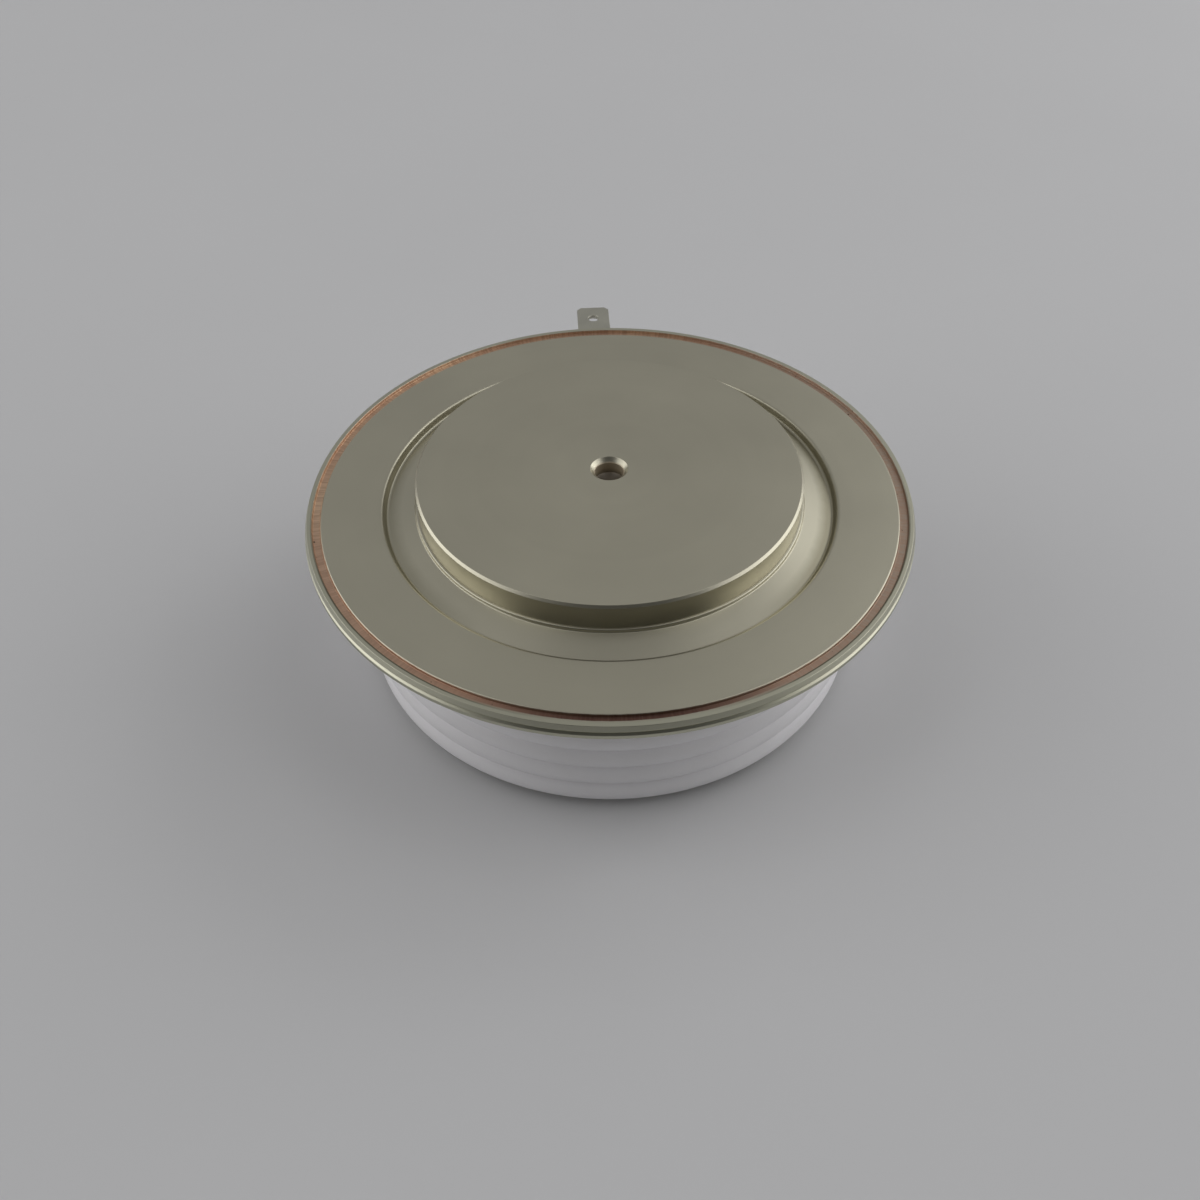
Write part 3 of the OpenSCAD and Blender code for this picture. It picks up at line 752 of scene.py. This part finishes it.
# %% Turn the weld flange
WELD_BORE_R = 27.9
GROOVE_ROOF = 21.45
LIP_DROP = 0.08
weld_flange_corners = [
    (WELD_BORE_R, weld_top, 0.03),
    (WELD_BORE_R, weld_low, 0.08),
    # The groove underneath
    (35.1, weld_low, 0.08),
    (35.25, GROOVE_ROOF, 0.08),
    (36.25, GROOVE_ROOF, 0.08),
    (36.4, weld_low, 0.08),
    # The lip and its bevel up to the seam
    (36.7, weld_low - LIP_DROP, 0.1),
    (rim_r, weld_low - LIP_DROP, 0.05),
    (rim_r, 21.4, 0.1),
    (37.03, 21.64, 0),
    (SEAM_R, weld_top, 0),
]
turned_piece("weld_flange_ring", weld_flange_corners, flange_nickel, "nickel_flange", "weld_flange")

# %% [markdown]
# ## Ceramic housing
#
# The ribs make the path over the surface longer, so that no current creeps along it. They follow a rule: the
# same soft arc, one pitch apart. Geometry Nodes fit that well. The object's own mesh is only the plain part
# of the outline, and the tree adds the ribs, turns the outline, and cuts the seat for the gate tube.


# %% Run a geometry tree
def run_tree(name, tree, mesh, **values):
    """Evaluates a geometry tree on a mesh with its own input values and returns a plain mesh."""
    piece = new_object(name, mesh)
    modifier = piece.modifiers.new(tree.name, "NODES")
    modifier.node_group = tree
    sockets = {item.name: item.identifier for item in tree.interface.items_tree if item.in_out == "INPUT"}
    for label, value in values.items():
        modifier[sockets[label.replace("_", " ")]] = value
    result = evaluated_mesh(piece)
    bpy.data.objects.remove(piece)
    result.name = name
    return result


# %% A tree that makes a ribbed ring
ribbed = bpy.data.node_groups.new("Ribbed ring", "GeometryNodeTree")
ribbed.interface.new_socket("Geometry", in_out="INPUT", socket_type="NodeSocketGeometry")
usual_values = {
    "Foot": 0.0014, "Pitch": 0.0031, "Groove radius": 0.031, "Rib depth": 0.0007, "Softness": 0.00012,
    "Ribs": 6, "Points": 14, "Sides": SIDES,
    "Seat angle": 1.2, "Seat level": 0.015, "Seat radius": 0.003, "Seat reach": 0.03, "Tube radius": 0.0014,
}
for label, value in usual_values.items():
    kind = "NodeSocketInt" if isinstance(value, int) else "NodeSocketFloat"
    ribbed.interface.new_socket(label, in_out="INPUT", socket_type=kind).default_value = value
ribbed.interface.new_socket("Geometry", in_out="OUTPUT", socket_type="NodeSocketGeometry")
given = ribbed.nodes.new("NodeGroupInput").outputs
print("inputs:", [socket.name for socket in given if socket.name])

# %% [markdown]
# The ribs start as a straight upright line. Each point's number tells which rib it is on and how far along.
# Points crowd together at the grooves, where the outline bends most, and the arc formula pushes each one out.

# %% The ribs' outline
count = calc(ribbed, "ADD", calc(ribbed, "MULTIPLY", given["Ribs"], given["Points"]), 1.0)
line = put(ribbed, "GeometryNodeCurvePrimitiveLine").outputs["Curve"]
line = put(ribbed, "GeometryNodeResampleCurve", {"Curve": line, "Count": count}).outputs["Curve"]
number = calc(ribbed, "DIVIDE", put(ribbed, "GeometryNodeInputIndex").outputs[0], given["Points"])
along = calc(ribbed, "MULTIPLY", calc(ribbed, "FRACT", number), math.pi)
phase = calc(ribbed, "MULTIPLY", calc(ribbed, "SUBTRACT", 1.0, calc(ribbed, "COSINE", along)), 0.5)
level = calc(ribbed, "MULTIPLY", calc(ribbed, "ADD", calc(ribbed, "FLOOR", number), phase), given["Pitch"])
level = calc(ribbed, "ADD", level, given["Foot"])
half_pitch = calc(ribbed, "MULTIPLY", given["Pitch"], 0.5)
depth = given["Rib depth"]
both = calc(ribbed, "ADD", calc(ribbed, "POWER", half_pitch, 2.0), calc(ribbed, "POWER", depth, 2.0))
arc_radius = calc(ribbed, "DIVIDE", both, calc(ribbed, "MULTIPLY", depth, 2.0))
aside = calc(ribbed, "MULTIPLY", calc(ribbed, "SUBTRACT", phase, 0.5), given["Pitch"])
chord = calc(ribbed, "SUBTRACT", calc(ribbed, "POWER", arc_radius, 2.0), calc(ribbed, "POWER", aside, 2.0))
bulge = calc(ribbed, "SUBTRACT", calc(ribbed, "SQRT", chord), calc(ribbed, "SUBTRACT", arc_radius, depth))
bulge = calc(ribbed, "SMOOTH_MAX", bulge, 0.0, given["Softness"])
rib_radius = calc(ribbed, "ADD", bulge, given["Groove radius"])

# %% [markdown]
# Turning an outline is Curve to Mesh with a circle as the path. The circle has a radius of its own, so the
# outline is shifted by that much first. Curve to Mesh lays the outline upside down around this circle, so
# the shell is turned over. Merging by distance welds the ribs to the plain part.


# %% Turn the outline
def moved(geometry, **settings):
    """The geometry shifted, turned or both."""
    return put(ribbed, "GeometryNodeTransform", {"Geometry": geometry, **settings}).outputs[0]


PATH_R = 0.01
WELD_DISTANCE = 2e-6
ribs_x = calc(ribbed, "SUBTRACT", rib_radius, PATH_R)
ribs_at = put(ribbed, "ShaderNodeCombineXYZ", {0: ribs_x, 1: level}).outputs[0]
ribs = put(ribbed, "GeometryNodeSetPosition", {"Geometry": line, "Position": ribs_at}).outputs[0]
plain = put(ribbed, "GeometryNodeMeshToCurve", {"Mesh": given["Geometry"]}).outputs["Curve"]
joined = put(ribbed, "GeometryNodeJoinGeometry")
for curve in (ribs, moved(plain, Translation=(-PATH_R, 0, 0))):
    ribbed.links.new(curve, joined.inputs[0])
path = put(ribbed, "GeometryNodeCurvePrimitiveCircle", {"Resolution": given["Sides"], "Radius": PATH_R})
curves = {"Curve": path.outputs["Curve"], "Profile Curve": joined.outputs[0]}
shell = put(ribbed, "GeometryNodeCurveToMesh", curves).outputs["Mesh"]
settings = {"Geometry": moved(shell, Rotation=(math.pi, 0, 0)), "Distance": WELD_DISTANCE}
shell = put(ribbed, "GeometryNodeMergeByDistance", settings).outputs[0]

# %% [markdown]
# Two rods are taken away from the shell: a short wide one for the seat of the seal, and a thin one for the
# tube that goes right through the wall.


# %% Cut the seat
def cross_rod(radius, start, length):
    """A rod that points out of the ring at the gate's angle and level."""
    settings = {"Vertices": 64, "Radius": radius, "Depth": length}
    rod = put(ribbed, "GeometryNodeMeshCylinder", settings).outputs["Mesh"]
    away = put(ribbed, "ShaderNodeCombineXYZ", {2: calc(ribbed, "ADD", start, length / 2)}).outputs[0]
    turn = put(ribbed, "ShaderNodeCombineXYZ", {2: given["Seat angle"]}).outputs[0]
    lift = put(ribbed, "ShaderNodeCombineXYZ", {2: given["Seat level"]}).outputs[0]
    rod = moved(moved(rod, Translation=away), Rotation=(0, math.pi / 2, 0))
    return moved(rod, Translation=lift, Rotation=turn)


SEAT_CUT = 0.004
TUBE_CUT_START, TUBE_CUT = 0.026, 0.008
cutters = put(ribbed, "GeometryNodeMeshBoolean", operation="DIFFERENCE", solver="EXACT")
ribbed.links.new(shell, cutters.inputs["Mesh 1"])
ribbed.links.new(cross_rod(given["Seat radius"], given["Seat reach"], SEAT_CUT), cutters.inputs["Mesh 2"])
ribbed.links.new(cross_rod(given["Tube radius"], TUBE_CUT_START, TUBE_CUT), cutters.inputs["Mesh 2"])
whole = put(ribbed, "GeometryNodeRealizeInstances", {"Geometry": cutters.outputs["Mesh"]}).outputs[0]
whole = put(ribbed, "GeometryNodeSetMaterial", {"Geometry": whole, "Material": white_alumina}).outputs[0]
ribbed.links.new(whole, ribbed.nodes.new("NodeGroupOutput").inputs[0])

# %% Make the housing
_, foot, ceramic_top = cad_size("ceramic_housing")
GROOVE_R, CERAMIC_BORE_R, CERAMIC_CHAMFER = 31.0, 27.6, 0.3
RIBS, PITCH, RIB_DEPTH, SOFTNESS = 6, 3.1, 0.7, 0.12
plain_outline = rounded_outline([
    (GROOVE_R, foot, 0),
    (GROOVE_R, foot + RIBS * PITCH, 0),
    (GROOVE_R, ceramic_top, 0.15),
    (CERAMIC_BORE_R + CERAMIC_CHAMFER, ceramic_top, 0.1),
    (CERAMIC_BORE_R, ceramic_top - CERAMIC_CHAMFER, 0.1),
    (CERAMIC_BORE_R, foot + CERAMIC_CHAMFER, 0.1),
    (CERAMIC_BORE_R + CERAMIC_CHAMFER, foot, 0.1),
])

# The ribs close the outline, so the wire leaves out the edge that they stand on.
wire_points = [(p.x * MM, p.y * MM, 0) for p in plain_outline[1:] + plain_outline[:1]]
wire_edges = [(k, k + 1) for k in range(len(wire_points) - 1)]
wire = bpy.data.meshes.new("plain_outline")
wire.from_pydata(wire_points, wire_edges, [])

# Softening lifts the bottom of the grooves by a sixth of its width, which is taken off again.
lift = SOFTNESS / 6
housing_mesh = run_tree(
    "ceramic_ring", ribbed, wire,
    Foot=foot * MM, Pitch=PITCH * MM, Groove_radius=(GROOVE_R - lift) * MM, Rib_depth=(RIB_DEPTH + lift) * MM,
    Softness=SOFTNESS * MM, Ribs=RIBS, Points=14, Sides=SIDES, Seat_angle=GATE_ANGLE,
    Seat_level=GATE_LEVEL * MM, Seat_radius=SEAT_R * MM, Seat_reach=SEAT_REACH * MM, Tube_radius=TUBE_R * MM,
)
new_piece("ceramic_ring", housing_mesh, white_alumina, "alumina", "ceramic_housing")

# %% [markdown]
# ## Lower pole
#
# The lower pole stands on the floor here. Its contact face is the same as the upper one. Above the thin
# flange it widens to a shoulder, and a smaller head on top centres the ring around the wafer.

# %% Turn the lower pole
_, _, anode_pole_top = cad_size("anode_pole_piece")
SHOULDER_R, HEAD_R, HEAD_FOOT = 24.8, 24.0, 7.5
lower_pole_corners = [
    (0, HOLE_DEPTH, 0),
    (HOLE_R, HOLE_DEPTH, 0.05),
    (HOLE_R, HOLE_CHAMFER, 0.06),
    (HOLE_R + HOLE_CHAMFER, 0, 0.06),
    (contact_r - POLE_CHAMFER, 0, 0.08),
    (contact_r, POLE_CHAMFER, 0.08),
    (contact_r, foot, 0.05),
    (SHOULDER_R, foot, 0.1),
    (SHOULDER_R, HEAD_FOOT, 0.15),
    (HEAD_R, HEAD_FOOT, 0.05),
    (HEAD_R, anode_pole_top, 0.15),
    (0, anode_pole_top, 0),
]
turned_piece("lower_pole", lower_pole_corners, pole_nickel, "nickel_pole", "anode_pole_piece")

# %% [markdown]
# ## Lower flange
#
# The lower flange is a thin ring with one raised bead. The bead gives way a little, so the brittle ceramic
# isn't strained when the poles are pressed together or grow warm.

# %% Turn the lower flange
lower_flange_r, sheet_low, _ = cad_size("anode_flange")
BEAD_RISE = 0.5
BEAD_FOOT_IN, BEAD_IN, BEAD_OUT, BEAD_FOOT_OUT = 25.0, 25.5, 26.9, 27.4
lower_flange_corners = [
    (contact_r, sheet_low, 0.03),
    (BEAD_FOOT_IN, sheet_low, 0.2),
    (BEAD_IN, foot, 0.15),
    (BEAD_OUT, foot, 0.15),
    (BEAD_FOOT_OUT, sheet_low, 0.2),
    (lower_flange_r, sheet_low, 0.12),
    (lower_flange_r, foot, 0.12),
    (BEAD_FOOT_OUT, foot, 0.15),
    (BEAD_OUT, foot + BEAD_RISE, 0.3),
    (BEAD_IN, foot + BEAD_RISE, 0.3),
    (BEAD_FOOT_IN, foot, 0.15),
    (contact_r, foot, 0.03),
]
turned_piece("lower_flange", lower_flange_corners, flange_nickel, "nickel_flange", "anode_flange")

# %% [markdown]
# ## Tabs
#
# A tab is stamped from strip. Its outline has two cut corners and one hole, and stamping leaves slightly
# rounded edges. The mesh runs once around the section of the strip: over the top from the hole's edge to
# the outline, down the side, back underneath, and up through the hole. Each step is one loop of points.

# %% From a stamped outline to a tab
TAB_WIDTH, TAB_THICK, TAB_CORNER, TAB_HOLE_R, TAB_HOLE_INSET = 4.75, 0.6, 0.6, 0.8, 3.0


def tab_outline(start, tip, inset, per_side=8):
    """The stamped outline along +Y as (x, y) points, moved inwards by an inset."""
    half, low, high = TAB_WIDTH / 2 - inset, start + inset, tip - inset
    corner = TAB_CORNER - inset * (2 - math.sqrt(2))
    right = [(half, low), (half, high - corner), (half - corner, high)]
    corners = right + [(-x, y) for x, y in reversed(right)]
    points = []
    for (x0, y0), (x1, y1) in zip(corners, corners[1:] + corners[:1]):
        points += [(x0 + (x1 - x0) * k / per_side, y0 + (y1 - y0) * k / per_side) for k in range(per_side)]
    return points


def tab_mesh(name, start, tip, top, edge=0.08):
    """A tab with rounded edges between a start and a tip along +Y, its upper face at a level."""
    hole_y = tip - TAB_HOLE_INSET
    angles = [math.atan2(y - hole_y, x) for x, y in tab_outline(start, tip, 0)]
    quarter = [(edge + SUPPORT, 0.0)]
    for step in range(4):
        turn = math.radians(30 * step)
        quarter.append((edge * (1 - math.sin(turn)), edge * (1 - math.cos(turn))))
    outside = [(inset, top - drop) for inset, drop in quarter]
    outside += [(inset, top - TAB_THICK + drop) for inset, drop in reversed(quarter)]
    loops = [[(x, y, z) for x, y in tab_outline(start, tip, inset)] for inset, z in outside]
    for inset, z in reversed(outside):
        r = TAB_HOLE_R + inset
        loops.append([(r * math.cos(a), hole_y + r * math.sin(a), z) for a in angles])
    return lofted_mesh(name, loops)


# %% Place both tabs
cathode_start, cathode_tip = [round(v.y / MM, 2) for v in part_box("cathode_terminal_tab")]
cathode_tab_mesh = tab_mesh("cathode_tab", cathode_start, cathode_tip, weld_low)
new_piece("cathode_tab", cathode_tab_mesh, tab_nickel, "nickel_tab", "cathode_terminal_tab")

GATE_TAB_START, GATE_TAB_TIP = 33.3, 44.0
gate_tab_top = round(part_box("gate_terminal_tab")[1].z / MM, 2)
gate_tab_mesh = tab_mesh("gate_tab", GATE_TAB_START, GATE_TAB_TIP, gate_tab_top)
gate_tab_mesh.transform(Matrix.Rotation(GATE_ANGLE - math.pi / 2, 4, "Z"))
new_piece("gate_tab", gate_tab_mesh, tab_nickel, "nickel_tab", "gate_terminal_tab")

# %% [markdown]
# ## Gate tube and its seal
#
# The gate's wire leaves the capsule through a nickel tube that is brazed into the ceramic. Once the capsule
# is filled, the tube's outer end is pressed flat, which seals it, and the gate tab is welded on the flat.
# The mesh follows that: round loops first, then loops whose height shrinks.

# %% Loft the tube
TUBE_START, TUBE_END, TUBE_EDGE, TUBE_PLUG = 27.0, 36.8, 0.12, 1.0
PRESS_START, PRESS_RUN, PRESS_STEPS = 33.0, 0.8, 8
gate_frame = Matrix.Rotation(GATE_ANGLE, 4, "Z") @ Matrix.Translation((0, 0, GATE_LEVEL * MM))


def tube_loop(x, r, half_height=10.0, sides=48):
    """A round loop across the tube, flattened where the half height is smaller than the radius."""
    loop = []
    for side in range(sides):
        turn = 2 * math.pi * side / sides
        loop.append((x, r * math.cos(turn), max(-half_height, min(half_height, r * math.sin(turn)))))
    return loop


bore_end = TUBE_END - TUBE_PLUG
loops = [[(bore_end, 0, 0)], tube_loop(bore_end, TUBE_BORE_R), tube_loop(TUBE_START, TUBE_BORE_R)]
loops += [tube_loop(TUBE_START, TUBE_R - TUBE_EDGE), tube_loop(TUBE_START + TUBE_EDGE, TUBE_R)]
for step in range(PRESS_STEPS + 1):
    share = step / PRESS_STEPS
    press = TUBE_R + (TUBE_FLAT - TUBE_R) * (3 * share**2 - 2 * share**3)
    loops.append(tube_loop(PRESS_START + PRESS_RUN * share, TUBE_R, press))
loops.append(tube_loop(TUBE_END - TUBE_EDGE, TUBE_R, TUBE_FLAT))
loops.append(tube_loop(TUBE_END, TUBE_R - TUBE_EDGE, TUBE_FLAT - TUBE_EDGE))
loops.append([(TUBE_END, 0, 0)])
tube_mesh = lofted_mesh("gate_tube_pressed", loops)
tube_mesh.transform(gate_frame)
new_piece("gate_tube_pressed", tube_mesh, tab_nickel, "nickel_tab", "gate_tube")

# %% Turn the seal washer
SEAL_R, SEAL_THICK = 2.6, 0.5
seal_outline = rounded_outline([
    (TUBE_R, 0, 0),
    (SEAL_R, 0, 0.05),
    (SEAL_R, 0.3, 0.12),
    (SEAL_R - 0.5, SEAL_THICK, 0.2),
    (TUBE_R, SEAL_THICK, 0),
])
seal_mesh = turned_mesh("gate_seal", seal_outline, sides=64)
on_seat = Matrix.Translation((SEAT_REACH * MM, 0, 0)) @ Matrix.Rotation(math.pi / 2, 4, "Y")
seal_mesh.transform(gate_frame @ on_seat)
new_piece("gate_seal", seal_mesh, tab_nickel, "nickel_tab", "gate_eyelet")

# %% [markdown]
# ## What is inside
#
# Nobody sees the wafer stack from outside, so the CAD solids stay as they are and only get finishes. In
# order from the lower pole: silver foil, molybdenum, silicon with its rubber edge, molybdenum, silver foil.
# Molybdenum is there because it grows with heat about as little as silicon does.

# %% Metals of the wafer stack
SILVER = (0.86, 0.85, 0.82, 1)
MOLYBDENUM = (0.40, 0.405, 0.43, 1)
SPRING_STEEL = (0.50, 0.49, 0.47, 1)
silver_foil, tree, shader = new_material("soft_silver", metallic=1.0)
grain = group_node(tree, satin, Grain_mm=0.4, Cloud_mm=5, Seed=41)
colour = clouded(tree, SILVER, grain, 0.94, 1.0)
finish_surface(tree, shader, colour, shade(tree, grain["Grain"], 0.22, 0.36))
finish_bump(tree, shader, grain["Cloud"], 0.3, 0.02)

lapped_molybdenum, tree, shader = new_material("lapped_molybdenum", metallic=1.0)
rings = group_node(tree, turning, Rings_per_mm=5.0, Streak=6.0, Seed=43)
grain = group_node(tree, satin, Grain_mm=0.08, Cloud_mm=7, Seed=44)
colour = clouded(tree, MOLYBDENUM, grain, 0.93, 1.05)
finish_surface(tree, shader, colour, shade(tree, rings["Height"], 0.34, 0.46))
finish_bump(tree, shader, grain["Grain"], 0.4, 0.003)

spring_wire, tree, shader = new_material("spring_wire", metallic=1.0)
grain = group_node(tree, satin, Grain_mm=0.05, Cloud_mm=1.5, Seed=46)
colour = clouded(tree, SPRING_STEEL, grain, 0.88, 1.05)
finish_surface(tree, shader, colour, shade(tree, grain["Grain"], 0.24, 0.38))

# %% [markdown]
# The wafer is dark grey silicon with a pale aluminium contact that stops short of its bevelled edge. A ring
# mask separates the two on one material. The edge carries the full voltage, so it is potted in soft,
# slightly milky silicone rubber.

# %% Silicon, rubber and plastic
SILICON = (0.11, 0.115, 0.13, 1)
ALUMINIUM = (0.70, 0.705, 0.71, 1)
MILKY_RUBBER = (0.78, 0.74, 0.67, 1)
WHITE_PLASTIC = (0.84, 0.84, 0.82, 1)
wafer_silicon, tree, shader = new_material("wafer_silicon", metallic=1.0)
grain = group_node(tree, satin, Grain_mm=0.1, Cloud_mm=6, Seed=51)
contact = ring_mask(tree, 4.2, 23.2, 0.05, 0.02)
colour = mix_colour(tree, contact, SILICON, clouded(tree, ALUMINIUM, grain, 0.95, 1.0))
finish_surface(tree, shader, colour, shade(tree, contact, 0.2, 0.4))
finish_bump(tree, shader, grain["Grain"], 0.3, 0.002)

edge_rubber, tree, shader = new_material("edge_rubber")
grain = group_node(tree, satin, Grain_mm=0.5, Cloud_mm=4, Seed=53)
colour = clouded(tree, MILKY_RUBBER, grain, 0.93, 1.0)
finish_surface(tree, shader, colour, shade(tree, grain["Grain"], 0.3, 0.42))
shader.inputs["Coat Weight"].default_value = 0.15
finish_bump(tree, shader, grain["Cloud"], 0.3, 0.03)

white_fluoropolymer, tree, shader = new_material("white_fluoropolymer")
rings = group_node(tree, turning, Rings_per_mm=3.5, Streak=2.0, Seed=55)
grain = group_node(tree, satin, Grain_mm=0.3, Cloud_mm=6, Seed=56)
colour = clouded(tree, WHITE_PLASTIC, grain, 0.96, 1.0)
finish_surface(tree, shader, colour, shade(tree, grain["Grain"], 0.4, 0.5))
finish_bump(tree, shader, rings["Height"], 0.3, 0.01)

# %% Dress the CAD solids that stay
dressed = {
    silver_foil: ("anode_foil", "cathode_foil", "gate_contact_pin", "gate_lead"),
    lapped_molybdenum: ("anode_molybdenum_disc", "cathode_molybdenum_disc"),
    wafer_silicon: ("silicon_wafer",),
    edge_rubber: ("junction_coating",),
    white_fluoropolymer: ("locating_ring", "gate_guide_ring", "gate_insulator", "gate_lead_sleeve"),
    spring_wire: ("gate_spring",),
}
for finish, names in dressed.items():
    for name in names:
        for slot in nodes[name].material_slots:
            slot.material = finish
print("dressed inside:", sum(len(names) for names in dressed.values()), "CAD nodes")
